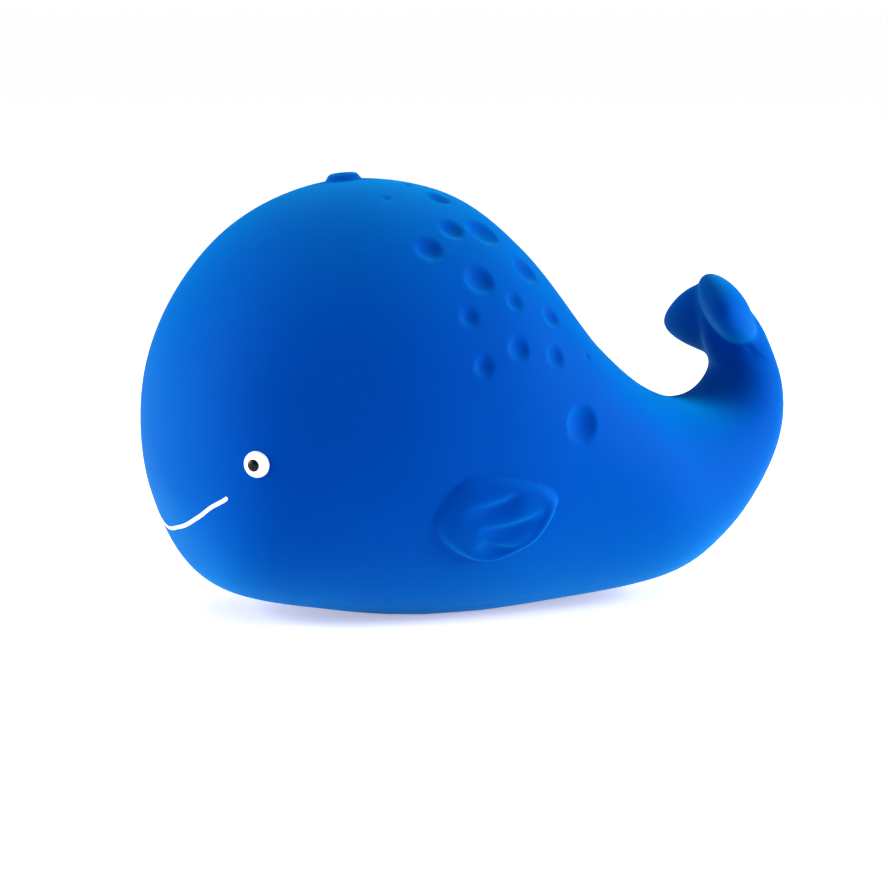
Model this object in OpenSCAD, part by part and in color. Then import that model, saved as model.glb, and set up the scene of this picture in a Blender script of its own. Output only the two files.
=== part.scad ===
// A hollow natural-rubber whale for the bath, with a painted face and a sealed squeaker in its belly.
// Millimetres. It stands on Z = 0 and faces -X, and its box is centred on X = 0 and Y = 0.

/* [Whale] */
// Length from nose to tail
toy_length = 107.95; // [95:0.05:125]
// Width over the flippers, which the body's half widths follow
toy_width = 69.85; // [62:0.05:80]
// Height, which the back and the belly follow
toy_height = 69.85; // [62:0.05:80]
// Thickness of the rubber
wall = 3; // [2:0.1:4]

/* [Flippers] */
// Length of a flipper from its root to its tip
flipper_length = 20.4; // [15:0.1:23]
// Height of a flipper
flipper_height = 14.6; // [11:0.1:17]
// How far a flipper stands out of the body
flipper_proud = 2.4; // [1.5:0.1:3]
// Width of the grooves between a flipper's feathers
feather_groove = 1.3; // [0.8:0.1:1.6]

/* [Flukes] */
// Length of a fluke from its root to its tip
fluke_length = 15.2; // [12:0.1:19]
// Width of a fluke across its middle
fluke_chord = 12.6; // [10:0.1:15]
// Thickness of a fluke
fluke_thickness = 6.9; // [5:0.1:8]
// Slope of a fluke's width, its rear edge down, in degrees
fluke_slope = 58; // [30:1:75]
// How far the tips swing forward, in degrees
fluke_sweep = 28; // [0:1:40]
// How far the pair leans over to the whale's right, in degrees
fluke_lean = 6; // [0:1:15]
// How much lower the right fluke sits than the left
fluke_drop = 1.6; // [0:0.1:2]

/* [Blowhole] */
// Outer diameter of the raised ring
blowhole_d = 5.6; // [4:0.1:8]
// Thickness of the ring's bead
blowhole_bead = 2.1; // [1.5:0.1:2.4]
// How far the ring stands out of the head
blowhole_proud = 1.05; // [0.8:0.05:1.4]

/* [Dents] */
// Diameter of the largest dent on the back
dent_d = 6; // [4:0.1:7]

/* [Eyes] */
// Diameter of an eye
eye_d = 4.1; // [3.5:0.1:6]
// How far the eye bulges out of the head
eye_rise = 1.1; // [0.8:0.05:1.5]
// How deep the eye sits in its seat
eye_seat = 0.7; // [0.4:0.05:1]
// Diameter of the pupil
pupil_d = 2; // [1.5:0.1:3]
// Thickness of the pupil
pupil_t = 0.25; // [0.15:0.05:0.4]

/* [Smile] */
// Width of the painted line
smile_w = 0.8; // [0.5:0.05:1.2]
// Depth of the paint in its groove
smile_depth = 0.4; // [0.3:0.05:0.6]
// How far the paint stands out of the head
smile_proud = 0.08; // [0.02:0.02:0.2]

/* [Belly plug] */
// Thickness of the plug's head
plug_head_t = 1.5; // [1:0.1:2]
// How much wider than the hole the plug's head is, on each side
plug_lip = 1.6; // [1:0.1:2.4]
// Height of the plug's stem
plug_stem_h = 1.7; // [1:0.1:3]
// How far the plug lies above the base
plug_recess = 0.3; // [0.1:0.1:0.6]

/* [Squeaker] */
// Outer diameter of the cup
cup_d = 12.4; // [12:0.1:14]
// Height of the cup
cup_h = 8; // [6.5:0.1:11]
// Thickness of the cup's wall and floor
cup_wall = 1; // [0.8:0.1:1.2]
// Width of the ledge that the reed plate rests on
cup_ledge = 0.9; // [0.6:0.1:1]
// Thickness of the rubber neck round the cup
neck_wall = 2; // [1.5:0.1:3]
// Thickness of the neck's inner lip over the cup
neck_lip_t = 1.2; // [0.8:0.1:2]
// How far the lip reaches over the cup
neck_lip = 1.5; // [1.2:0.1:2]
// Thickness of the reed plate
plate_t = 1.4; // [1.2:0.1:2]
// Thickness of the reed clamp
clamp_t = 1; // [0.8:0.1:1.6]

/* [Reed] */
// Length of the reed's free tongue
reed_l = 5.8; // [4.5:0.1:6]
// Width of the tongue
reed_w = 2.4; // [1.8:0.1:2.6]
// Thickness of the reed
reed_t = 0.15; // [0.1:0.05:0.25]
// Length of the reed's head
reed_head_l = 1.2; // [0.9:0.1:1.4]
// Width of the reed's head
reed_head_w = 4.2; // [3.6:0.1:4.6]
// Play of the head above, below and round it
reed_play = 0.15; // [0.12:0.01:0.2]
// Gap between the tongue and its slot
reed_gap = 0.3; // [0.2:0.05:0.4]

/* [Hidden] */
$fn = 64;

// Clearance between pieces that are pushed together
fit_gap = 0.05;
// Clearance of the paint from its groove and of the pupil from the eye
paint_gap = 0.03;
// How far cutting and joining solids run past a surface
overrun = 1;

// Colours of the rubber, the paint, the cup and the reed
rubber_blue = [0, 0.33, 0.78];
paint_white = [0.95, 0.95, 0.93];
paint_black = [0.05, 0.05, 0.06];
cup_white = [0.88, 0.88, 0.86];
reed_brass = [0.8, 0.65, 0.3];

// The back and the belly from nose to tail, as shares of the length and the height, one row a station
back_shares = [[0, 0.39], [0.03, 0.665], [0.13, 0.88], [0.275, 0.98], [0.43, 0.96], [0.535, 0.85],
    [0.62, 0.67], [0.715, 0.535], [0.8, 0.465], [0.86, 0.46], [0.895, 0.515], [0.88, 0.6], [0.884, 0.707]];
belly_shares = [[0, 0.39], [0.03, 0.215], [0.095, 0.07], [0.25, 0.01], [0.405, -0.014], [0.58, 0],
    [0.775, 0.04], [0.88, 0.13], [0.955, 0.26], [0.9955, 0.385], [0.9955, 0.51], [0.965, 0.62],
    [0.884, 0.707]];
// Half widths of the body at the stations, as shares of half the width
half_width_shares = [0, 0.5, 0.805, 0.974, 0.994, 0.905, 0.76, 0.585, 0.425, 0.295, 0.215, 0.096, 0];
// How full the sections are, and how much fuller below than above
full_share = 0.08;
low_share = 0.12;

stations = len(back_shares) - 1;
// Rings of facets to a station, and facets round the body
rings_per_station = 4;
skin_around = 40;
// The hollow ends in the tail's root, with fewer facets
hollow_end_share = 0.73;
hollow_rings = 22;
hollow_around = 28;

// A smooth curve through the points p, at t spans along it; the first and last points only steer its ends
function curve(p, t) = let(
        i = min(floor(t), len(p) - 4),
        f = t - i,
        a = p[i],
        b = p[i + 1],
        c = p[i + 2],
        d = p[i + 3])
    (2 * b + (c - a) * f + (2 * a - 5 * b + 4 * c - d) * f * f + (3 * b - a - 3 * c + d) * f * f * f) / 2;

// One rail of the body in the XZ plane; each end turns over smoothly into the other rail
function rail_at(share) = [(share[0] - 1 / 2) * toy_length, share[1] * toy_height];
function rail(shares, other) = [for (q = concat([other[1]], shares, [other[stations - 1]])) rail_at(q)];
back_rail = rail(back_shares, belly_shares);
belly_rail = rail(belly_shares, back_shares);
width_rail = [for (q = concat([-half_width_shares[1]], half_width_shares, [-half_width_shares[stations - 1]]))
    q * toy_width / 2];

// The skin at a station and a turn in degrees from the back: a section hung between the two rails
function skin(station, turn) = let(
        up = curve(back_rail, station),
        low = curve(belly_rail, station),
        along = cos(turn) * (1 + (full_share - low_share * cos(turn)) * pow(sin(turn), 2)),
        at = (up + low) / 2 + (up - low) / 2 * along)
    [at[0], curve(width_rail, station) * sin(turn), at[1]];

// The skin's outward normal, from its slopes along the body and round it
probe_station = 0.01;
probe_turn = 0.5;
function skin_normal(station, turn) = let(
        n = cross(skin(station + probe_station, turn) - skin(station - probe_station, turn),
            skin(station, turn + probe_turn) - skin(station, turn - probe_turn)))
    n / norm(n);

// Millimetres to a station and to a degree, near a place on the skin
function station_length(station, turn) =
    norm(skin(station + probe_station, turn) - skin(station - probe_station, turn)) / (2 * probe_station);
function turn_length(station, turn) =
    norm(skin(station, turn + probe_turn) - skin(station, turn - probe_turn)) / (2 * probe_turn);

// A closed solid through rings of points, each end drawn to one point
module loft(first, rings, last) {
    n = len(rings[0]);
    end = len(rings) * n + 1;
    points = concat([first], [for (ring = rings) each ring], [last]);
    faces = concat(
        [for (j = [0:n - 1]) [0, 1 + (j + 1) % n, 1 + j]],
        [for (i = [0:len(rings) - 2], j = [0:n - 1]) let(a = 1 + i * n, b = a + n, k = (j + 1) % n)
            each [[a + j, a + k, b + k], [a + j, b + k, b + j]]],
        [for (j = [0:n - 1]) [end, end - n + j, end - n + (j + 1) % n]]);
    polyhedron(points, faces, convexity = 6);
}

// Sets children on the skin, their Z along its normal
module on_skin(station, turn) {
    n = skin_normal(station, turn);
    translate(skin(station, turn)) rotate([0, acos(n[2]), atan2(n[1], n[0])]) children();
}

// One child on the whale's left and its mirror image on the right
module both_sides() {
    children();
    mirror([0, 1, 0]) children();
}

module skin_solid() {
    loft(skin(0, 0),
        [for (i = [1:stations * rings_per_station - 1])
            [for (j = [0:skin_around - 1]) skin(i / rings_per_station, 360 * j / skin_around)]],
        skin(stations, 0));
}

// The hollow: the skin moved in by the wall, flat over the base, ending in the tail's root
function hollow(station, turn) = let(p = skin(station, turn) - wall * skin_normal(station, turn))
    [p[0], p[1], max(p[2], wall)];
hollow_end = hollow_end_share * stations;
function hollow_end_middle() = (hollow(hollow_end, 0) + hollow(hollow_end, 180)) / 2;

module hollow_solid() {
    loft(skin(0, 0) + [wall, 0, 0],
        [for (i = [1:hollow_rings])
            [for (j = [0:hollow_around - 1]) hollow(hollow_end * i / hollow_rings, 360 * j / hollow_around)]],
        hollow_end_middle());
}

// The flukes: two egg-shaped lobes that cross the tail's end, each a flattened ball with its narrow end
// outward
fluke_middle_share = [0.8965, 0.657];
fluke_out_share = 0.3;
fluke_egg = 0.42;
fluke_rings = 16;
fluke_around = 20;
function fluke_point(t, turn) = let(
        r = sqrt(1 - t * t),
        u = fluke_chord / 2 * r * (1 + fluke_egg * t),
        v = fluke_thickness / 2 * r)
    [u * cos(turn), fluke_length / 2 * t, v * sin(turn)];

module fluke() {
    translate([0, -fluke_out_share * fluke_length, 0])
        rotate([0, 0, -fluke_sweep]) rotate([0, fluke_slope, 0]) loft(fluke_point(-1, 0),
            [for (i = [1:fluke_rings - 1])
                [for (j = [0:fluke_around - 1])
                    fluke_point(-cos(180 * i / fluke_rings), 360 * j / fluke_around)]],
            fluke_point(1, 0));
}

module flukes() {
    middle = rail_at(fluke_middle_share);
    translate([middle[0], 0, middle[1]]) {
        rotate([-fluke_lean, 0, 0]) fluke();
        translate([0, 0, -fluke_drop]) rotate([-fluke_lean, 0, 0]) mirror([0, 1, 0]) fluke();
    }
}

// A flipper's outline from its root round its lower edge, as shares of half its length and half its height
flipper_shares = [[-1, 0], [-0.7, -0.65], [0, -1], [0.7, -0.4], [1, 0.5], [0.82, 0.84], [0.35, 0.98],
    [-0.2, 1], [-0.7, 0.8]];
flipper_station_share = 0.3355;
flipper_turn = 245.6;
flipper_station = flipper_station_share * stations;
flipper_rings = 7;
flipper_around = 36;
// A flipper stands lower at its root than at its tip
flipper_root_share = 0.55;
flipper_edge = 4;

flipper_station_l = station_length(flipper_station, flipper_turn);
flipper_turn_l = turn_length(flipper_station, flipper_turn);
// A point on the skin under the flipper, from its middle, in shares, and lifted off the skin
function flipper_point(share, lift) = let(
        station = flipper_station + share[0] * flipper_length / 2 / flipper_station_l,
        turn = flipper_turn + share[1] * flipper_height / 2 / flipper_turn_l)
    skin(station, turn) + lift * skin_normal(station, turn);
function closed(p) = concat([p[len(p) - 1]], p, [p[0], p[1]]);
function flipper_outline(around) = curve(closed(flipper_shares), around * len(flipper_shares));
function flipper_lift(share, r) = flipper_proud * sqrt(max(0, 1 - pow(r, flipper_edge)))
    * (flipper_root_share + (1 - flipper_root_share) * (1 + share[0]) / 2);

module flipper() {
    loft(flipper_point([0, 0], flipper_lift([0, 0], 0)),
        concat([for (i = [1:flipper_rings]) let(r = sin(90 * i / flipper_rings))
                [for (j = [0:flipper_around - 1]) let(share = r * flipper_outline(j / flipper_around))
                    flipper_point(share, flipper_lift(share, r))]],
            [[for (j = [0:flipper_around - 1])
                flipper_point(flipper_outline(j / flipper_around), -wall / 2)]]),
        flipper_point([0, 0], -wall / 2));
}

// The grooves between the feathers: start, middle and end of each, as shares like the outline's
feather_shares = [[[-0.63, 0.27], [0.08, 0.4], [0.25, 0.75]],
    [[-0.35, -0.09], [0.22, -0.18], [0.8, 0.45]],
    [[-0.27, -0.36], [0, -0.65], [0.56, -0.55]]];
feather_rings = 8;
feather_sides = 6;
function feather_at(p, t) = p[0] * pow(1 - t, 2) + p[1] * 2 * t * (1 - t) + p[2] * t * t;
function feather_path(p) = [for (i = [0:feather_rings])
    let(share = feather_at(p, i / feather_rings)) flipper_point(share, flipper_lift(share, norm(share)))];

// A round rod through the points of a path, drawn to a point at both ends, thickest in its middle
module rod(path, d, sides) {
    last = len(path) - 1;
    loft(path[0],
        [for (i = [1:last - 1]) let(
                t = path[i + 1] - path[i - 1],
                b = cross(t, [0, 1, 0]) / norm(cross(t, [0, 1, 0])),
                n = cross(b, t) / norm(t),
                r = d / 2 * sin(180 * i / last))
            [for (j = [0:sides - 1]) path[i] - r * (b * cos(360 * j / sides) + n * sin(360 * j / sides))]],
        path[last]);
}

module feathers() {
    for (p = feather_shares) rod(feather_path(p), feather_groove, feather_sides);
}

// The blowhole: a bead round a small pit on the crown
blowhole_station_share = 0.2595;
blowhole_pit_share = 0.45;
module blowhole_place() on_skin(blowhole_station_share * stations, 0) children();
module blowhole_ring() {
    blowhole_place() translate([0, 0, blowhole_proud - blowhole_bead / 2])
        rotate_extrude() translate([(blowhole_d - blowhole_bead) / 2, 0]) circle(d = blowhole_bead);
}
module blowhole_pit() blowhole_place() sphere(d = blowhole_pit_share * blowhole_d);

// The dents: station and turn as shares of the body and of half a turn, and diameter as a share of the
// largest
dent_shares = [[0.272, 0.12, 0.25], [0.302, 0.052, 0.3], [0.318, 0.1, 0.7], [0.311, 0.194, 0.75],
    [0.344, 0.179, 1], [0.286, 0.244, 0.78], [0.321, 0.292, 0.86], [0.382, 0.229, 0.88],
    [0.352, 0.316, 0.52], [0.306, 0.358, 0.55], [0.396, 0.311, 0.6], [0.348, 0.393, 0.64],
    [0.315, 0.428, 0.57], [0.389, 0.385, 0.6], [0.436, 0.347, 0.27], [0.411, 0.48, 1]];
dent_depth_share = 0.16;
module dents() {
    for (q = dent_shares) let(d = q[2] * dent_d, h = dent_depth_share * d, r = (d * d / 4 + h * h) / (2 * h))
        on_skin(q[0] * stations, -180 * q[1]) translate([0, 0, r - h]) rotate([0, -90, 0]) sphere(r);
}

// The eyes: a bead with a domed top in a round seat, and a thin round pupil on the dome, turned forward
eye_station_share = 0.1415;
eye_turn = 259;
eye_ball_r = (eye_d * eye_d / 4 + eye_rise * eye_rise) / (2 * eye_rise);
pupil_tilt = 3;
module eye_place() on_skin(eye_station_share * stations, eye_turn) children();
module eye_seat_cut() {
    eye_place() translate([0, 0, -eye_seat])
        cylinder(d = eye_d + 2 * fit_gap, h = eye_seat + eye_rise + overrun);
}
module eye_ball(more) translate([0, 0, eye_rise - eye_ball_r]) sphere(eye_ball_r + more);
module eye_white() {
    eye_place() intersection() {
        translate([0, 0, -eye_seat]) cylinder(d = eye_d, h = eye_seat + eye_rise + overrun);
        eye_ball(0);
    }
}
module pupil() {
    eye_place() difference() {
        intersection() {
            eye_ball(paint_gap + pupil_t);
            translate([0, 0, eye_rise - eye_ball_r]) rotate([pupil_tilt, 0, 0])
                cylinder(d = pupil_d, h = 2 * eye_ball_r);
        }
        eye_ball(paint_gap);
    }
}

// The smile: an oval bead of paint along a line on the skin from its right corner to its left one, a little
// lower to the right, as shares of half a turn up from the belly and of the body
smile_shares = [[-0.357, 0.114], [-0.28, 0.091], [-0.2, 0.089], [-0.13, 0.092], [-0.065, 0.091], [0, 0.0865],
    [0.07, 0.083], [0.15, 0.082], [0.22, 0.085], [0.3, 0.0955], [0.357, 0.114]];
smile_rings = 48;
smile_sides = 8;
smile_ends = let(p = smile_shares, n = len(p)) concat([2 * p[0] - p[1]], p, [2 * p[n - 1] - p[n - 2]]);
function smile_share(t) = curve(smile_ends, t * (len(smile_shares) - 1));
function smile_point(t) = let(q = smile_share(t)) skin(q[1] * stations, 180 + 180 * q[0]);
function smile_normal(t) = let(q = smile_share(t)) skin_normal(q[1] * stations, 180 + 180 * q[0]);
probe_smile = 0.004;
smile_height = smile_depth + smile_proud;
module smile(more) {
    at = [for (i = [0:smile_rings]) i / smile_rings];
    middle = [for (t = at) smile_point(t) + smile_normal(t) * (smile_proud - smile_height / 2)];
    loft(middle[0],
        [for (i = [1:smile_rings - 1]) let(
                n = smile_normal(at[i]),
                b = cross(smile_point(at[i] + probe_smile) - smile_point(at[i] - probe_smile), n),
                round_end = sqrt(sin(180 * at[i])),
                u = b / norm(b) * (smile_w / 2 * round_end + more),
                v = n * (smile_height / 2 * round_end + more))
            [for (j = [0:smile_sides - 1]) let(turn = 360 * j / smile_sides)
                middle[i] + u * cos(turn) + v * sin(turn)]],
        middle[smile_rings]);
}

// The squeaker stands over the hole in the belly: plug, cup, plate, reed and clamp on one upright axis
hole_x_share = 0.44;
hole_x = (hole_x_share - 1 / 2) * toy_length;
hole_d = cup_d + 2 * fit_gap;
plug_seat_d = hole_d + 2 * plug_lip;
plug_seat_top = plug_recess + plug_head_t;
cup_z = plug_seat_top + plug_stem_h;
cup_top = cup_z + cup_h;
neck_top = cup_top + neck_lip_t;
neck_d = hole_d + 2 * neck_wall;
cup_bore = cup_d - 2 * cup_wall;
chamber_d = cup_bore - 2 * cup_ledge;
plate_z = cup_top - clamp_t - plate_t;
plate_top = plate_z + plate_t;
disc_d = cup_bore - 2 * fit_gap;
reed_z = plate_top - reed_play - reed_t;
reed_x = -(reed_l + reed_head_l) / 2;
tongue_x = reed_x + reed_head_l;
module belly_axis(z) translate([hole_x, 0, z]) children();

// A slab over the reed's middle line, from x to x, of a width, a bottom and a height
module slab(x0, x1, w, z, h) translate([x0, -w / 2, z]) cube([x1 - x0, w, h]);

module neck() belly_axis(wall / 2) cylinder(d = neck_d, h = neck_top - wall / 2);
module belly_hole() {
    belly_axis(-overrun) cylinder(d = plug_seat_d, h = plug_seat_top + overrun);
    belly_axis(0) cylinder(d = hole_d, h = cup_top);
    belly_axis(0) cylinder(d = cup_d - 2 * neck_lip, h = neck_top + overrun);
}

module body_shell() {
    color(rubber_blue) difference() {
        union() {
            difference() {
                intersection() {
                    union() {
                        skin_solid();
                        flukes();
                        both_sides() flipper();
                        blowhole_ring();
                    }
                    translate([-toy_length, -toy_width, 0])
                        cube([2 * toy_length, 2 * toy_width, 2 * toy_height]);
                }
                hollow_solid();
            }
            neck();
        }
        belly_hole();
        blowhole_pit();
        both_sides() {
            dents();
            eye_seat_cut();
            feathers();
        }
        smile(paint_gap);
    }
}

module belly_plug() {
    color(rubber_blue) union() {
        belly_axis(plug_recess) cylinder(d = plug_seat_d - 2 * fit_gap, h = plug_head_t);
        belly_axis(plug_recess) cylinder(d = hole_d - 2 * fit_gap, h = plug_head_t + plug_stem_h);
    }
}

module squeaker_cup() {
    color(cup_white) difference() {
        belly_axis(cup_z) cylinder(d = cup_d, h = cup_h);
        belly_axis(cup_z + cup_wall) cylinder(d = chamber_d, h = cup_h);
        belly_axis(plate_z) cylinder(d = cup_bore, h = cup_h);
    }
}

module reed_plate() {
    color(cup_white) difference() {
        belly_axis(plate_z) cylinder(d = disc_d, h = plate_t);
        belly_axis(0) {
            slab(tongue_x - reed_gap, reed_x + reed_head_l + reed_l + reed_gap, reed_w + 2 * reed_gap,
                plate_z - overrun, plate_t + 2 * overrun);
            slab(reed_x - reed_play, tongue_x + reed_play, reed_head_w + 2 * reed_play, reed_z - reed_play,
                plate_t);
        }
    }
}

module squeaker_reed() {
    color(reed_brass) belly_axis(0) union() {
        slab(reed_x, tongue_x, reed_head_w, reed_z, reed_t);
        slab(reed_x, tongue_x + reed_l, reed_w, reed_z, reed_t);
    }
}

module reed_clamp() {
    color(cup_white) difference() {
        belly_axis(plate_top) cylinder(d = disc_d, h = clamp_t);
        belly_axis(0) slab(tongue_x + reed_play, tongue_x + reed_l + reed_gap, reed_w + 2 * reed_gap,
            plate_top - overrun, clamp_t + 2 * overrun);
    }
}

module eye_white_left() color(paint_white) eye_white();
module eye_white_right() color(paint_white) mirror([0, 1, 0]) eye_white();
module pupil_left() color(paint_black) pupil();
module pupil_right() color(paint_black) mirror([0, 1, 0]) pupil();
module mouth_line() color(paint_white) smile(0);

body_shell();
belly_plug();
squeaker_cup();
reed_plate();
squeaker_reed();
reed_clamp();
eye_white_left();
eye_white_right();
pupil_left();
pupil_right();
mouth_line();
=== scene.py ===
import bpy
import numpy as np
from mathutils import Matrix


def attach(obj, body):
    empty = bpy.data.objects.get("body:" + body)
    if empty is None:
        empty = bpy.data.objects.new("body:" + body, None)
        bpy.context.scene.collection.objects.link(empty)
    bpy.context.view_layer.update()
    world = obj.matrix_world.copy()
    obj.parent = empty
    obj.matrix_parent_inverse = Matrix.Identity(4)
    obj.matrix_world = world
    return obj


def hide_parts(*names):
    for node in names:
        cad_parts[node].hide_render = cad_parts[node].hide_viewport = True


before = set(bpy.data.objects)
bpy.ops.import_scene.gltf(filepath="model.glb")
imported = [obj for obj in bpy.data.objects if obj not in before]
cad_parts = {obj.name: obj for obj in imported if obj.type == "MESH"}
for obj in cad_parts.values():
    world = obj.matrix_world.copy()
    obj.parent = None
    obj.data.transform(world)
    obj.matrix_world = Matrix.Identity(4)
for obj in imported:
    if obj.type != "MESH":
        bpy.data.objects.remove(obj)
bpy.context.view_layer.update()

# The body: one hollow moulding of natural rubber, sprayed blue all over, with the tail, the flukes, the
# flippers, the blowhole and the dents in the same skin. It is drawn in millimetres as one closed surface
# between a back and a belly line, and its flat base has a round seat for the plug.
MM = 0.001
# The width is a little under the real 69.85, so that this smoother skin stays inside the CAD's box
LENGTH, WIDTH, HEIGHT = 107.95, 69.78, 69.85
# Both lines as shares of length and height, and half widths as shares of half the width, from nose to tail
BACK = np.array([[0, 0.39], [0.03, 0.665], [0.13, 0.88], [0.275, 0.98], [0.43, 0.96], [0.535, 0.85],
                 [0.62, 0.67], [0.715, 0.535], [0.8, 0.465], [0.86, 0.46], [0.895, 0.515], [0.88, 0.6],
                 [0.884, 0.707]])
BELLY = np.array([[0, 0.39], [0.03, 0.215], [0.095, 0.07], [0.25, 0.01], [0.405, -0.014], [0.58, 0],
                  [0.775, 0.04], [0.88, 0.13], [0.955, 0.26], [0.9955, 0.385], [0.9955, 0.51],
                  [0.965, 0.62], [0.884, 0.707]])
HALF_WIDTH = np.array([0, 0.5, 0.805, 0.974, 0.994, 0.905, 0.76, 0.585, 0.425, 0.295, 0.215, 0.096, 0])
STATIONS = len(BACK) - 1
# How much fuller than an ellipse a section is, and how much fullness its upper half gives to its lower one
FULL, LOW = 0.08, 0.12


def curve(knots, t):
    """Smooth curve through knots: a cubic on each span, whose end slopes are half the neighbours' chord."""
    i = np.clip(np.floor(t).astype(int), 0, len(knots) - 4)
    f = (t - i)[..., None]
    a, b, c, d = (knots[i + k] for k in range(4))
    return (2 * b + (c - a) * f + (2 * a - 5 * b + 4 * c - d) * f**2 + (3 * b - a - 3 * c + d) * f**3) / 2


def rail(shares, other):
    """A line's shares in mm, with a point of the other line before and after, so that the ends turn over."""
    return (np.vstack([other[1], shares, other[-2]]) - [0.5, 0]) * [LENGTH, HEIGHT]


def lines(station):
    """The back line, the belly line and the half width at a station, in mm."""
    ends = np.concatenate([[-HALF_WIDTH[1]], HALF_WIDTH, [-HALF_WIDTH[-2]]])[:, None] * WIDTH / 2
    return curve(rail(BACK, BELLY), station), curve(rail(BELLY, BACK), station), curve(ends, station)[..., 0]


def skin(station, turn):
    """Point of the skin in mm: a section hung between back and belly, its half width times the turn's sine.
    The turn starts at the back and passes the whale's right side, the belly and the left side."""
    up, low, half = lines(station)
    along = np.cos(turn) * (1 + (FULL - LOW * np.cos(turn)) * np.sin(turn) ** 2)
    at = (up + low) / 2 + (up - low) / 2 * along[..., None]
    return np.stack([at[..., 0], half * np.sin(turn), at[..., 1]], -1)


def skin_normal(station, turn, step=0.004):
    """Outward unit normal: the cross product of the skin's slopes along the body and round it."""
    ahead = skin(station + step, turn) - skin(station - step, turn)
    around = skin(station, turn + step) - skin(station, turn - step)
    normal = np.cross(ahead, around)
    return normal / np.maximum(np.linalg.norm(normal, axis=-1, keepdims=True), 1e-12)


def spaced(ends, per_unit):
    """Values from the first end to the last, spaced so that each stretch has its own count to a unit."""
    steps = np.concatenate([[0], np.cumsum(np.diff(ends) * per_unit)])
    return np.interp(np.linspace(0, steps[-1], int(round(steps[-1])) + 1), steps, ends)


# Rings are close together where the dents, the flippers and the flukes are; points on a ring likewise
RING_ENDS, RINGS_PER_STATION = np.array([0, 2.8, 5.45, 10.4, STATIONS]), np.array([16, 44, 10, 40])
LAST_RINGS = STATIONS - np.array([0.01, 0.005, 0.002])
TURN_ENDS, POINTS_PER_DEGREE = np.array([0, 5, 90, 100, 129, 180]), np.array([2, 0.95, 0.8, 1.6, 0.3])
ring_at = np.concatenate([spaced(RING_ENDS, RINGS_PER_STATION)[1:-1], LAST_RINGS])
half_turn = np.radians(spaced(TURN_ENDS, POINTS_PER_DEGREE))
turn_at = np.concatenate([half_turn, 2 * np.pi - half_turn[-2:0:-1]])
station_grid, turn_grid = np.meshgrid(ring_at, turn_at, indexing="ij")
body_points, body_normals = skin(station_grid, turn_grid), skin_normal(station_grid, turn_grid)
body_lift = np.zeros(station_grid.shape)

# The dents are spherical caps pressed into the skin. Each has its place as shares of the stations and of
# half a turn from the back, and its diameter as a share of the largest; depth is a share of the diameter.
DENT_D, DENT_DEPTH, DENT_SOFT, DENT_REACH = 6.0, 0.19, 0.04, 0.7
DENTS = np.array([[0.272, 0.12, 0.25], [0.302, 0.052, 0.3], [0.318, 0.1, 0.7], [0.311, 0.194, 0.75],
                  [0.344, 0.179, 1], [0.286, 0.244, 0.78], [0.321, 0.292, 0.86], [0.382, 0.229, 0.88],
                  [0.352, 0.316, 0.52], [0.306, 0.358, 0.55], [0.396, 0.311, 0.6], [0.348, 0.393, 0.64],
                  [0.315, 0.428, 0.57], [0.389, 0.385, 0.6], [0.436, 0.347, 0.27], [0.411, 0.48, 1]])


def dent_depth(rho, d):
    """Depth of a spherical cap of diameter d at distance rho from its middle, its rim rounded a little."""
    h = DENT_DEPTH * d
    r = (d * d / 4 + h * h) / (2 * h)
    cap = np.sqrt(np.maximum(r * r - rho**2, 0)) - (r - h)
    return (cap + np.sqrt(cap**2 + DENT_SOFT**2)) / 2 - DENT_SOFT**2 / 4


for station, turn, size in DENTS:
    for side in (-1, 1):
        rho = np.linalg.norm(body_points - skin(station * STATIONS, side * np.pi * turn), axis=-1)
        near = rho < DENT_REACH * size * DENT_D
        body_lift[near] -= dent_depth(rho[near], size * DENT_D)

# The blowhole is a round bead about a small pit on the crown
HOLE_AT, HOLE_R, BEAD_R, BEAD_FULL, PIT_R, PIT_DEPTH = 0.2595 * STATIONS, 1.75, 1.05, 0.8, 1.0, 0.9
rho = np.linalg.norm(body_points - skin(HOLE_AT, 0), axis=-1)
body_lift += BEAD_R * np.maximum(1 - ((rho - HOLE_R) / BEAD_R) ** 2, 0) ** BEAD_FULL
body_lift -= PIT_DEPTH * np.maximum(1 - (rho / PIT_R) ** 2, 0)

# The flippers are low rounded pads, thicker to the tip, whose feathers overlap like shingles. The outline
# and the feathers' lines are shares of the half sizes, along the body and round it.
FLIPPER_AT, FLIPPER_TURN, FLIPPER_REACH = 0.3355 * STATIONS, np.radians(245.6), 1.2
FLIPPER_HALF = np.array([10.2, 7.3])
MM_PER_STATION, MM_PER_DEGREE = 16.9, 0.641
FLIPPER_PROUD, FLIPPER_ROOT, EDGE, EDGE_SOFT, EDGE_CRISP = 2.3, 0.6, 4, 0.75, 0.6
CRISP_FROM, SOFT_FROM, SOFT_SLANT = 0.4, -0.9, 0.5
LIP_RISE, LIP_AT, LIP_HALF = 0.5, 0.84, 0.1
FLIPPER = np.array([[-1, 0], [-0.7, -0.65], [0, -1], [0.7, -0.4], [1, 0.5], [0.82, 0.84], [0.35, 0.98],
                    [-0.2, 1], [-0.7, 0.8]])
FEATHERS = np.array([[[-0.63, 0.27], [0.08, 0.4], [0.25, 0.75]],
                     [[-0.35, -0.09], [0.22, -0.18], [0.8, 0.45]],
                     [[-0.27, -0.36], [0, -0.65], [0.56, -0.55]]])
STEP_DEPTH, STEP_HALF, STEP_LONG, STEP_BLEND, FEATHER_FADE = 0.9, 0.8, 1.8, 0.3, 1.0
RIM_POINTS, FEATHER_POINTS = 361, 80


def smooth_step(low, high, x):
    """0 below low, 1 above high, and the cubic 3t^2 - 2t^3 between."""
    t = np.clip((x - low) / (high - low), 0, 1)
    return t * t * (3 - 2 * t)


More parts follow.
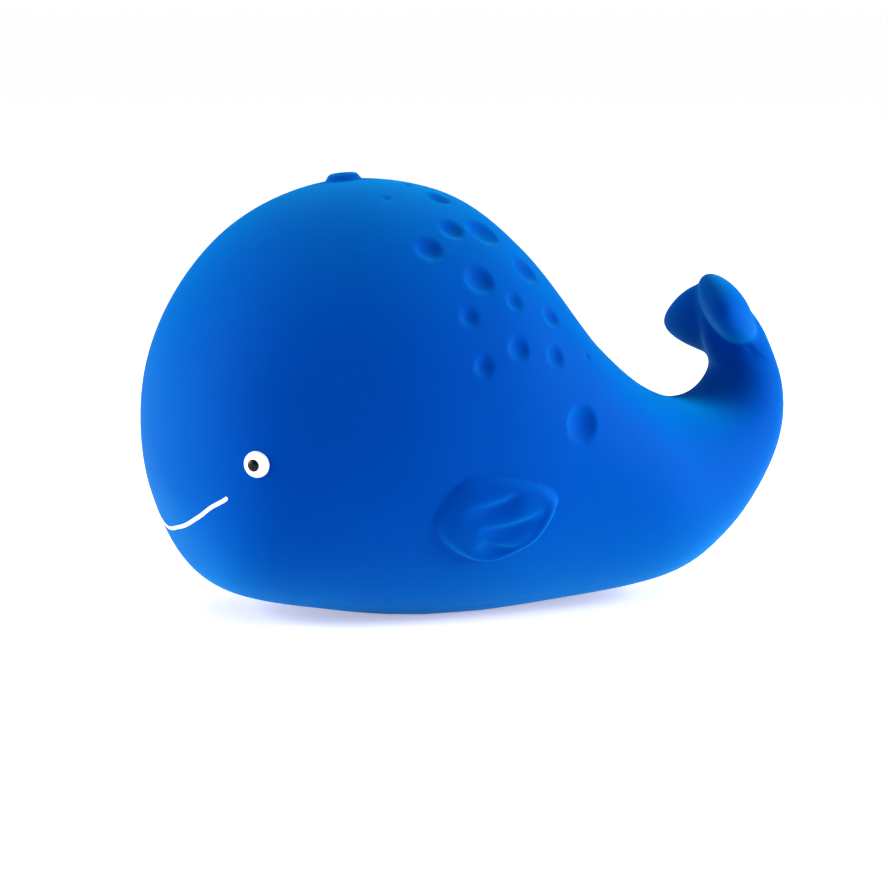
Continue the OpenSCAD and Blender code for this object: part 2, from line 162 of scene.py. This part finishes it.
def flipper_lift(share):
    """Height over the skin: full inside the outline and falling to nothing at it, softly at the root and
    crisply at the tip and below, where a low lip runs along the edge; then along each feather's line, a
    parabola between its ends that its middle point pulls, a step that is steep above and fades out below."""
    rim = curve(np.vstack([FLIPPER[-1], FLIPPER, FLIPPER[:2]]), np.linspace(0, len(FLIPPER), RIM_POINTS)[:-1])
    angle = np.unwrap(np.arctan2(rim[:, 1], rim[:, 0]))
    at = angle[0] + np.mod(np.arctan2(share[..., 1], share[..., 0]) - angle[0], 2 * np.pi)
    rim_angle, rim_far = np.append(angle, angle[0] + 2 * np.pi), np.hypot(*np.vstack([rim, rim[0]]).T)
    r = np.hypot(share[..., 0], share[..., 1]) / np.interp(at, rim_angle, rim_far)
    soft = smooth_step(CRISP_FROM, SOFT_FROM, share[..., 0] - SOFT_SLANT * share[..., 1])
    inside = np.maximum(1 - r**EDGE, 0) ** (EDGE_CRISP + (EDGE_SOFT - EDGE_CRISP) * soft)
    height = FLIPPER_PROUD * inside * (FLIPPER_ROOT + (1 - FLIPPER_ROOT) * (1 + share[..., 0]) / 2)
    lip = np.exp(-(((r - LIP_AT) / LIP_HALF) ** 2)) * np.clip((1 - r) / LIP_HALF, 0, 1)
    height += LIP_RISE * (1 - soft) * lip
    t = np.linspace(0, 1, FEATHER_POINTS)[:, None]
    for a, b, c in FEATHERS * FLIPPER_HALF:
        line = a * (1 - t) ** 2 + 2 * b * t * (1 - t) + c * t**2
        ahead = np.gradient(line, axis=0)
        away = (share * FLIPPER_HALF)[..., None, :] - line
        near = np.argmin(np.linalg.norm(away, axis=-1), axis=-1)
        gap = np.take_along_axis(away, near[..., None, None], -2)[..., 0, :]
        tangent = ahead[near] / np.linalg.norm(ahead[near], axis=-1, keepdims=True)
        above = tangent[..., 0] * gap[..., 1] - tangent[..., 1] * gap[..., 0]
        fade = np.sin(np.pi * t[near, 0]) ** FEATHER_FADE * inside
        reach = STEP_HALF + (STEP_LONG - STEP_HALF) * smooth_step(STEP_BLEND, -STEP_BLEND, above)
        height -= STEP_DEPTH * fade * np.exp(-((np.linalg.norm(gap, axis=-1) / reach) ** 2))
    return height


for turn in (turn_grid, 2 * np.pi - turn_grid):
    along_mm = (station_grid - FLIPPER_AT) * MM_PER_STATION
    round_mm = np.degrees(turn - FLIPPER_TURN) * MM_PER_DEGREE
    share = np.stack([along_mm, round_mm], -1) / FLIPPER_HALF
    near = (np.abs(share) < FLIPPER_REACH).all(-1)
    body_lift[near] += flipper_lift(share[near])

body_points = body_points + body_normals * body_lift[..., None]
body_points[..., 2] = np.maximum(body_points[..., 2], 0)

# The flukes are two egg-shaped lobes that cross the tail's end and melt into it. The pair leans to the
# whale's right, and the right one sits lower.
FLUKE_HALF = np.array([6.3, 7.6, 3.45])
FLUKE_MIDDLE, FLUKE_OUT, FLUKE_EGG = np.array([42.8, 0, 45.89]), 4.56, 0.42
FLUKE_LEAN, FLUKE_SWEEP, FLUKE_SLOPE = (np.array(Matrix.Rotation(np.radians(a), 3, axis))
                                        for a, axis in ((-6, "X"), (-28, "Z"), (58, "Y")))
FLUKE_DROP, FLUKE_MELT, FLUKE_FROM = np.array([0, 0, 1.6]), 0.55, 10.2
STALK_FROM, STALK_TO, STALK_BALLS = FLUKE_FROM - 1.5, STATIONS - 0.5, 40


def lobe_field(p, side):
    """About how far a point lies outside one lobe, in mm: the point is turned into the lobe's own axes, and
    its share of the lobe's half sizes is compared with one."""
    q = (p - FLUKE_MIDDLE + (side > 0) * FLUKE_DROP) @ FLUKE_LEAN * [1, -side, 1] + [0, FLUKE_OUT, 0]
    q = q @ FLUKE_SWEEP @ FLUKE_SLOPE
    t = np.clip(q[..., 1:2] / FLUKE_HALF[1], -1, 1)
    half = FLUKE_HALF * (1 + FLUKE_EGG * t * [1, 0, 0])
    share = np.linalg.norm(q / half, axis=-1)
    return share * (share - 1) / np.linalg.norm(q / half**2, axis=-1)


def tail_field(p, melt):
    """About how far a point lies outside the tail, in mm: the stalk is a row of balls between the back and
    the belly line, widened by its half width, and a smooth least value melts it and the lobes together."""
    up, low, half = lines(np.linspace(STALK_FROM, STALK_TO, STALK_BALLS))
    ball = np.linalg.norm(up - low, axis=-1) / 2
    gap = p[..., None, [0, 2]] - (up + low) / 2
    stalk = np.min(np.sqrt((gap**2).sum(-1) + (p[..., None, 1] * ball / half) ** 2) - ball, axis=-1)
    each = np.stack([stalk, lobe_field(p, -1), lobe_field(p, 1)])
    least = each.min(0)
    return least - melt * np.log(np.exp(-(each - least) / melt).sum(0))


def settle(p, melt, level, reach=0.02, most=1.5, least_slope=0.2):
    """Moves points one step along the field's slope towards the surface where the field has a level."""
    here = tail_field(p, melt)
    slope = np.stack([tail_field(p + reach * e, melt) - here for e in np.eye(3)], -1) / reach
    step = np.clip(here - level, -most, most) / np.maximum((slope**2).sum(-1), least_slope)
    return p - step[..., None] * slope


# The rings past the stalk start as an egg about both flukes and shrink onto them while the melting lessens,
# spreading evenly as they go. The first ring is held, and what it lies off the field fades out after it.
EGG_MIDDLE, EGG_HALF = np.array([43.5, 0, 45.5]), np.array([9.0, 15.0, 9.0])
EGG_UP, EGG_FROM, EGG_CROWD = np.radians(-12), np.radians(140), 1.5
MELT_FROM, MELT_STEPS, LAST_STEPS, LEVEL_FADE = 5, 32, 16, 0.6
tail = ring_at > FLUKE_FROM
moved, place, turn = body_points[tail], station_grid[tail], turn_grid[tail]
egg_share = (place[1:] - place[1, 0]) / (STATIONS - place[1, 0])
egg_at = EGG_FROM * (1 - egg_share**EGG_CROWD)
egg = [-np.sin(egg_at) * np.cos(turn[1:]), np.sin(egg_at) * np.sin(turn[1:]), np.cos(egg_at)]
moved[1:] = np.stack(egg, -1) * EGG_HALF @ np.array(Matrix.Rotation(EGG_UP, 3, "Y")).T + EGG_MIDDLE
level = tail_field(moved[0], FLUKE_MELT) * smooth_step(FLUKE_FROM + LEVEL_FADE, FLUKE_FROM, place)
for melt in np.append(np.geomspace(MELT_FROM, FLUKE_MELT, MELT_STEPS), [FLUKE_MELT] * LAST_STEPS):
    mean = (np.roll(moved, 1, 1) + np.roll(moved, -1, 1)) / 2
    mean[1:-1] = (mean[1:-1] + (moved[2:] + moved[:-2]) / 2) / 2
    moved[1:] = settle((moved[1:] + mean[1:]) / 2, melt, level[1:])
body_points[tail] = moved
tail_end = settle(moved[-1].mean(0)[None], FLUKE_MELT, 0)[0]


def closed_grid(name, points, first, last):
    """A closed mesh through rings of points (rings, around, 3) in mm, each end drawn to one point."""
    rings, around = points.shape[:2]
    verts = np.vstack([points.reshape(-1, 3), first, last]) * MM
    at = np.arange(rings * around).reshape(rings, around)
    nxt = np.roll(at, -1, 1)
    quads = np.stack([at[:-1], at[1:], nxt[1:], nxt[:-1]], -1).reshape(-1, 4)
    start = np.stack([np.full(around, rings * around), at[0], nxt[0]], -1)
    end = np.stack([np.full(around, rings * around + 1), nxt[-1], at[-1]], -1)
    loops = np.concatenate([quads.ravel(), start.ravel(), end.ravel()])
    counts = np.concatenate([np.full(len(quads), 4), np.full(2 * around, 3)])
    loop_starts = np.concatenate([[0], np.cumsum(counts)[:-1]])
    mesh = bpy.data.meshes.new(name)
    mesh.vertices.add(len(verts))
    mesh.vertices.foreach_set("co", verts.astype(np.float32).ravel())
    mesh.loops.add(len(loops))
    mesh.loops.foreach_set("vertex_index", loops.astype(np.int32))
    mesh.polygons.add(len(counts))
    mesh.polygons.foreach_set("loop_start", loop_starts.astype(np.int32))
    mesh.update(calc_edges=True)
    mesh.polygons.foreach_set("use_smooth", np.ones(len(counts), bool))
    mesh.update()
    obj = bpy.data.objects.new(name, mesh)
    bpy.context.scene.collection.objects.link(obj)
    return obj


body = closed_grid("whale_body", body_points, skin(0, 0), tail_end)

# The plug's seat is cut out of the base: a round recess a little wider than the plug's head
SEAT_X, SEAT_R, SEAT_TOP, SEAT_BELOW, SEAT_SIDES = (0.44 - 0.5) * LENGTH, 7.85, 1.8, 1.0, 96
SHARP_EDGE = np.radians(50)
seat_turn = np.linspace(0, 2 * np.pi, SEAT_SIDES, endpoint=False)
seat_ring = np.stack([SEAT_X + SEAT_R * np.cos(seat_turn), SEAT_R * np.sin(seat_turn), 0 * seat_turn], -1)
seat = closed_grid("plug_seat", np.stack([seat_ring + [0, 0, SEAT_TOP], seat_ring - [0, 0, SEAT_BELOW]]),
                   np.array([SEAT_X, 0, SEAT_TOP]), np.array([SEAT_X, 0, -SEAT_BELOW]))
cut = body.modifiers.new("seat", "BOOLEAN")
cut.operation, cut.object, cut.solver = "DIFFERENCE", seat, "MANIFOLD"
cut_mesh = bpy.data.meshes.new_from_object(body.evaluated_get(bpy.context.evaluated_depsgraph_get()))
body.modifiers.clear()
body.data = cut_mesh
bpy.data.objects.remove(seat)
cut_mesh.materials.clear()
cut_mesh.set_sharp_from_angle(angle=SHARP_EDGE)


def linear(code):
    """An sRGB hex colour as linear red, green, blue and alpha."""
    c = np.array([int(code[i:i + 2], 16) for i in (1, 3, 5)]) / 255
    return (*np.where(c <= 0.04045, c / 12.92, ((c + 0.055) / 1.055) ** 2.4).tolist(), 1.0)


def add(tree, kind, settings=(), sockets=(), links=()):
    """Adds a node of a kind, with its settings, its socket values, and links from other nodes' outputs."""
    made = tree.nodes.new(kind)
    for key, value in dict(settings).items():
        setattr(made, key, value)
    for key, value in dict(sockets).items():
        made.inputs[key].default_value = value
    for key, output in dict(links).items():
        tree.links.new(output, made.inputs[key])
    return made


def new_material(name):
    """An empty material, with its node tree, its shader and the object's own coordinates."""
    made = bpy.data.materials.new(name)
    made.use_nodes = True
    tree = made.node_tree
    return made, tree, tree.nodes["Principled BSDF"], add(tree, "ShaderNodeTexCoord").outputs["Object"]


def rubber(name, deep, light, sheen):
    """Natural rubber, moulded and sprayed with a matt rubber paint: a powdery sheen that shows at glancing
    angles, hardly any gloss, a faint cloudiness of about 14 mm, and a fine even grain of about 0.3 mm, drawn
    at 0.5 mm so that it shows."""
    made, tree, shader, place = new_material(name)
    cloud = add(tree, "ShaderNodeTexNoise", sockets={"Scale": 1 / (14 * MM), "Detail": 2.0},
                links={"Vector": place})
    grain = add(tree, "ShaderNodeTexNoise", sockets={"Scale": 1 / (0.5 * MM), "Detail": 3.0},
                links={"Vector": place})
    tone = add(tree, "ShaderNodeMix", {"data_type": "RGBA"}, {"A": linear(deep), "B": linear(light)},
               {"Factor": cloud.outputs["Fac"]})
    dull = add(tree, "ShaderNodeMapRange", sockets={"To Min": 0.5, "To Max": 0.62},
               links={"Value": grain.outputs["Fac"]})
    bump = add(tree, "ShaderNodeBump", sockets={"Strength": 0.12, "Distance": 0.05 * MM},
               links={"Height": grain.outputs["Fac"]})
    tree.links.new(tone.outputs["Result"], shader.inputs["Base Color"])
    tree.links.new(dull.outputs["Result"], shader.inputs["Roughness"])
    tree.links.new(bump.outputs["Normal"], shader.inputs["Normal"])
    shader.inputs["IOR"].default_value = 1.5
    shader.inputs["Specular IOR Level"].default_value = 0.015
    shader.inputs["Specular Tint"].default_value = linear(sheen)
    shader.inputs["Sheen Weight"].default_value = 0.5
    shader.inputs["Sheen Roughness"].default_value = 0.66
    shader.inputs["Sheen Tint"].default_value = linear(sheen)
    return made


blue_rubber = rubber("blue_natural_rubber", "#002386", "#00288e", "#00b4ff")
body.data.materials.append(blue_rubber)
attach(body, "whale")
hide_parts("body_shell")


# The squeaker: a cup, a slotted plate and a clamp of milky polyethylene, moulded, pushed together and held
# by the rubber neck over the belly's hole. The CAD pieces are right as they are and take their finish here,
# a waxy plastic with soft flow marks of about 4 mm.
def coat(node, material):
    """Gives a CAD piece one material in place of its own."""
    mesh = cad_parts[node].data
    mesh.materials.clear()
    mesh.materials.append(material)


polyethylene, tree, shader, place = new_material("milky_polyethylene")
flow = add(tree, "ShaderNodeTexNoise", sockets={"Scale": 1 / (4 * MM), "Detail": 2.0},
           links={"Vector": place})
tone = add(tree, "ShaderNodeMix", {"data_type": "RGBA"}, {"A": linear("#e2e1dc"), "B": linear("#ebeae6")},
           {"Factor": flow.outputs["Fac"]})
tree.links.new(tone.outputs["Result"], shader.inputs["Base Color"])
shader.inputs["Roughness"].default_value = 0.45
shader.inputs["IOR"].default_value = 1.51
for node in ("squeaker_cup", "reed_plate", "reed_clamp"):
    coat(node, polyethylene)

# The reed: a T stamped out of thin rolled brass, whose head is trapped between plate and clamp and whose
# tongue beats in the plate's slot. The CAD piece is right as it is. Rolling leaves fine lines along it,
# about 0.1 mm apart, which make it duller in streaks.
brass, tree, shader, place = new_material("rolled_brass")
drawn_out = add(tree, "ShaderNodeMapping", sockets={"Scale": (0.05, 1.0, 1.0)}, links={"Vector": place})
strokes = add(tree, "ShaderNodeTexNoise", sockets={"Scale": 1 / (0.1 * MM), "Detail": 2.0},
              links={"Vector": drawn_out.outputs["Vector"]})
dull = add(tree, "ShaderNodeMapRange", sockets={"To Min": 0.22, "To Max": 0.4},
           links={"Value": strokes.outputs["Fac"]})
tree.links.new(dull.outputs["Result"], shader.inputs["Roughness"])
shader.inputs["Base Color"].default_value = linear("#d9b45f")
shader.inputs["Metallic"].default_value = 1.0
coat("squeaker_reed", brass)

# The belly plug: a mushroom of the same rubber, pressed and glued into the moulding hole under the squeaker.
# The CAD piece is right as it is and takes the body's rubber, a shade deeper.
coat("belly_plug", rubber("plug_natural_rubber", "#00207c", "#002584", "#00b4ff"))

# The eyes: a raised bead of white enamel paint on each side of the head, set in a round seat, with a black
# dot of the same kind of paint on it, a little towards the front.
EYE_AT, EYE_TURN = 0.1415 * STATIONS, np.radians(259)
EYE_R, EYE_RISE, EYE_SEAT, EYE_FULL, EYE_CHAMFER = 2.05, 1.1, 0.7, 2.6, 0.2
PUPIL_R, PUPIL_T, PUPIL_FULL, PUPIL_FOOT, PUPIL_CHAMFER = 1.0, 0.25, 4, 0.3, 0.1
PUPIL_TILT, DOME_RINGS = np.radians(3), 24


def turned(name, profile, place, axis, around=64):
    """A closed mesh: a profile of radius and height, from the foot's rim to the crown, turned about an axis
    at a place."""
    across = np.cross(axis, [0, 0, 1])
    across /= np.linalg.norm(across)
    turn = np.linspace(0, 2 * np.pi, around, endpoint=False)
    ring = np.cos(turn)[:, None] * np.cross(axis, across) + np.sin(turn)[:, None] * across
    points = place + profile[:, None, :1] * ring + profile[:, None, 1:] * axis
    return closed_grid(name, points, place + profile[0, 1] * axis, place + profile[-1, 1] * axis)


def enamel(name, deep, light, dullness, gloss):
    """Enamel paint, brushed on thick: smooth and shiny, with soft brush waves about 1.5 mm long."""
    made, tree, shader, place = new_material(name)
    waves = add(tree, "ShaderNodeTexNoise", sockets={"Scale": 1 / (1.5 * MM), "Detail": 2.0},
                links={"Vector": place})
    tone = add(tree, "ShaderNodeMix", {"data_type": "RGBA"}, {"A": linear(deep), "B": linear(light)},
               {"Factor": waves.outputs["Fac"]})
    bump = add(tree, "ShaderNodeBump", sockets={"Strength": 0.15, "Distance": 0.05 * MM},
               links={"Height": waves.outputs["Fac"]})
    tree.links.new(tone.outputs["Result"], shader.inputs["Base Color"])
    tree.links.new(bump.outputs["Normal"], shader.inputs["Normal"])
    shader.inputs["Roughness"].default_value = dullness
    shader.inputs["Specular IOR Level"].default_value = gloss
    return made


white_enamel = enamel("white_enamel", "#f8f4f6", "#fefcfd", dullness=0.35, gloss=0.5)
black_enamel = enamel("black_enamel", "#08060c", "#0e0b14", dullness=0.25, gloss=0.15)
rho = np.sin(np.linspace(np.pi / 2, 0, DOME_RINGS))[:-1]
eye_foot = [[EYE_R - EYE_CHAMFER, -EYE_SEAT], [EYE_R, EYE_CHAMFER - EYE_SEAT], [EYE_R, -EYE_SEAT / 2]]
eye_dome = np.stack([EYE_R * rho, EYE_RISE * np.sqrt(np.maximum(1 - rho**EYE_FULL, 0))], -1)
ball = (EYE_R**2 + EYE_RISE**2) / (2 * EYE_RISE)
sag = ball - np.sqrt(ball**2 - (PUPIL_R * rho) ** 2)
pupil_foot = [[PUPIL_R - PUPIL_CHAMFER, -sag[0] - PUPIL_FOOT],
              [PUPIL_R, PUPIL_CHAMFER - sag[0] - PUPIL_FOOT]]
pupil_dome = np.stack([PUPIL_R * rho, PUPIL_T * np.sqrt(1 - rho**PUPIL_FULL) - sag], -1)
for side, label in ((1, "left"), (-1, "right")):
    place = skin(EYE_AT, EYE_TURN) * [1, side, 1]
    axis = skin_normal(EYE_AT, EYE_TURN) * [1, side, 1]
    white = turned("eye_bead_" + label, np.vstack([eye_foot, eye_dome]), place, axis)
    white.data.materials.append(white_enamel)
    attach(white, "whale")
    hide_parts("eye_white_" + label)
    forward = np.array([-1, 0, 0]) + axis[0] * axis
    forward /= np.linalg.norm(forward)
    look = np.cos(PUPIL_TILT) * axis + np.sin(PUPIL_TILT) * forward
    crown = place + (EYE_RISE - ball) * axis + ball * look
    pupil = turned("pupil_dot_" + label, np.vstack([pupil_foot, pupil_dome]), crown, look)
    pupil.data.materials.append(black_enamel)
    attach(pupil, "whale")
    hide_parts("pupil_" + label)

# The smile: a thin line of the white enamel, brushed into a shallow groove round the front of the head. It
# is an oval bead along the skin, whose places are shares of half a turn from the belly and of the stations.
SMILE = np.array([[-0.357, 0.114], [-0.28, 0.104], [-0.2, 0.0998], [-0.13, 0.098], [-0.065, 0.093],
                  [0, 0.0865], [0.07, 0.083], [0.15, 0.082], [0.22, 0.085], [0.3, 0.0955], [0.357, 0.114]])
SMILE_W, SMILE_H, SMILE_PROUD, SMILE_RINGS, SMILE_AROUND = 0.74, 0.48, 0.12, 240, 16
SMILE_END, SMILE_END_RINGS, SMILE_FROM = 0.01, 12, 0.012


def smile_line(t):
    """Points and normals of the skin along the smile, from one corner through the middle to the other."""
    knots = np.vstack([2 * SMILE[0] - SMILE[1], SMILE, 2 * SMILE[-1] - SMILE[-2]])
    share = curve(knots, t * (len(knots) - 3))
    at = share[:, 1] * STATIONS, np.pi + np.pi * share[:, 0]
    return skin(*at), skin_normal(*at)


def bead(path, normal, w, h, proud, around):
    """Rings of an oval section carried along a path on the skin: half the width across and half the height
    out, with both ends rounded off over half a width."""
    across = np.cross(np.gradient(path, axis=0), normal)
    across /= np.linalg.norm(across, axis=-1, keepdims=True)
    run = np.concatenate([[0], np.cumsum(np.linalg.norm(np.diff(path, axis=0), axis=-1))])
    end = np.clip(np.minimum(run, run[-1] - run) / (w / 2), 0, 1)
    size = np.sqrt(np.maximum(1 - (1 - end) ** 2, 0))[:, None, None]
    turn = np.linspace(0, 2 * np.pi, around, endpoint=False)[:, None]
    middle = path + (proud - h / 2) * normal
    oval = w / 2 * np.cos(turn) * across[:, None] + h / 2 * np.sin(turn) * normal[:, None]
    return middle[:, None] + size * oval


end = SMILE_END * np.linspace(0, 1, SMILE_END_RINGS) ** 2
t = np.concatenate([end, np.linspace(SMILE_FROM, 1 - SMILE_FROM, SMILE_RINGS), 1 - end[::-1]])
rings = bead(*smile_line(t), SMILE_W, SMILE_H, SMILE_PROUD, SMILE_AROUND)
smile = closed_grid("smile_line", rings[1:-1], rings[0, 0], rings[-1, 0])
smile.data.materials.append(white_enamel)
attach(smile, "whale")
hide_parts("mouth_line")

# The floor: a sheet of matt white paper under the toy, 80 m wide so that its edge is out of sight, and lit
# from below as well, so that it shows as plain white all round
FLOOR_SIZE = 80
bpy.ops.mesh.primitive_plane_add(size=FLOOR_SIZE, location=(0, 0, 0))
floor = bpy.context.object
floor.name = "floor"
paper = bpy.data.materials.new("white_paper")
paper.use_nodes = True
shader = paper.node_tree.nodes["Principled BSDF"]
shader.inputs["Base Color"].default_value = linear("#ffffff")
shader.inputs["Roughness"].default_value = 1.0
shader.inputs["Specular IOR Level"].default_value = 0.0
shader.inputs["Emission Color"].default_value = linear("#ffffff")
shader.inputs["Emission Strength"].default_value = 0.4
floor.data.materials.append(paper)

# The light: a dim room whose walls look white, a broad light from above, and a large soft box at each end
# of the toy, which leave its side a little darker where it faces the camera; places are in metres
ROOM_LIGHT, ROOM_LOOK = 0.08, 1.0
TOP_LIGHT, TOP_ANGLE = 1.6, np.radians(120)
AIM, BOX_SIZE = (0, 0, 0.035), 0.6
world = bpy.data.worlds.new("white_room")
bpy.context.scene.world = world
world.use_nodes = True
tree = world.node_tree
tree.nodes["Background"].inputs["Color"].default_value = linear("#ffffff")
seen = add(tree, "ShaderNodeLightPath").outputs["Is Camera Ray"]
power = add(tree, "ShaderNodeMapRange", sockets={"To Min": ROOM_LIGHT, "To Max": ROOM_LOOK},
            links={"Value": seen})
tree.links.new(power.outputs["Result"], tree.nodes["Background"].inputs["Strength"])
sun = bpy.data.objects.new("broad_top_light", bpy.data.lights.new("broad_top_light", "SUN"))
sun.data.energy, sun.data.angle = TOP_LIGHT, TOP_ANGLE
bpy.context.scene.collection.objects.link(sun)


def facing(place, aim):
    """The place and turn of a lamp or camera that looks from a place in metres at a point, its top up."""
    back = np.subtract(place, aim)
    back /= np.linalg.norm(back)
    right = np.cross([0, 0, 1], back)
    right /= np.linalg.norm(right)
    turn = Matrix(np.stack([right, np.cross(back, right), back], 1))
    return Matrix.Translation(place) @ turn.to_4x4()


for name, place, watts in (("soft_box_left", (-0.76, 0.18, 0.18), 10.5),
                           ("soft_box_right", (0.73, -0.35, 0.18), 16)):
    lamp = bpy.data.lights.new(name, "AREA")
    lamp.shape, lamp.size, lamp.energy = "SQUARE", BOX_SIZE, watts
    soft_box = bpy.data.objects.new(name, lamp)
    bpy.context.scene.collection.objects.link(soft_box)
    soft_box.matrix_world = facing(place, AIM)

# The camera: 22 degrees to the front of the toy's side, 6 degrees above it and 600 mm away. The lens follows
# from the photo's scale, and its shift from where the aimed point lies in the photo, in pixels.
CAMERA_ROUND, CAMERA_UP, CAMERA_AWAY = np.radians(-22), np.radians(6), 0.6
PHOTO_PX, PX_PER_MM, AIM_PX_X, AIM_PX_Y, SENSOR = 888, 6.194, 474.5, 385.66, 36.0
back = np.array([np.sin(CAMERA_ROUND) * np.cos(CAMERA_UP), -np.cos(CAMERA_ROUND) * np.cos(CAMERA_UP),
                 np.sin(CAMERA_UP)])
lens = bpy.data.cameras.new("camera")
lens.sensor_width, lens.lens = SENSOR, PX_PER_MM * CAMERA_AWAY / MM * SENSOR / PHOTO_PX
lens.shift_x, lens.shift_y = 0.5 - AIM_PX_X / PHOTO_PX, AIM_PX_Y / PHOTO_PX - 0.5
lens.clip_start, lens.clip_end = 0.01, 20
camera = bpy.data.objects.new("camera", lens)
bpy.context.scene.collection.objects.link(camera)
camera.matrix_world = facing(AIM + CAMERA_AWAY * back, AIM)
bpy.context.scene.camera = camera
bpy.context.scene.view_settings.view_transform = "Standard"
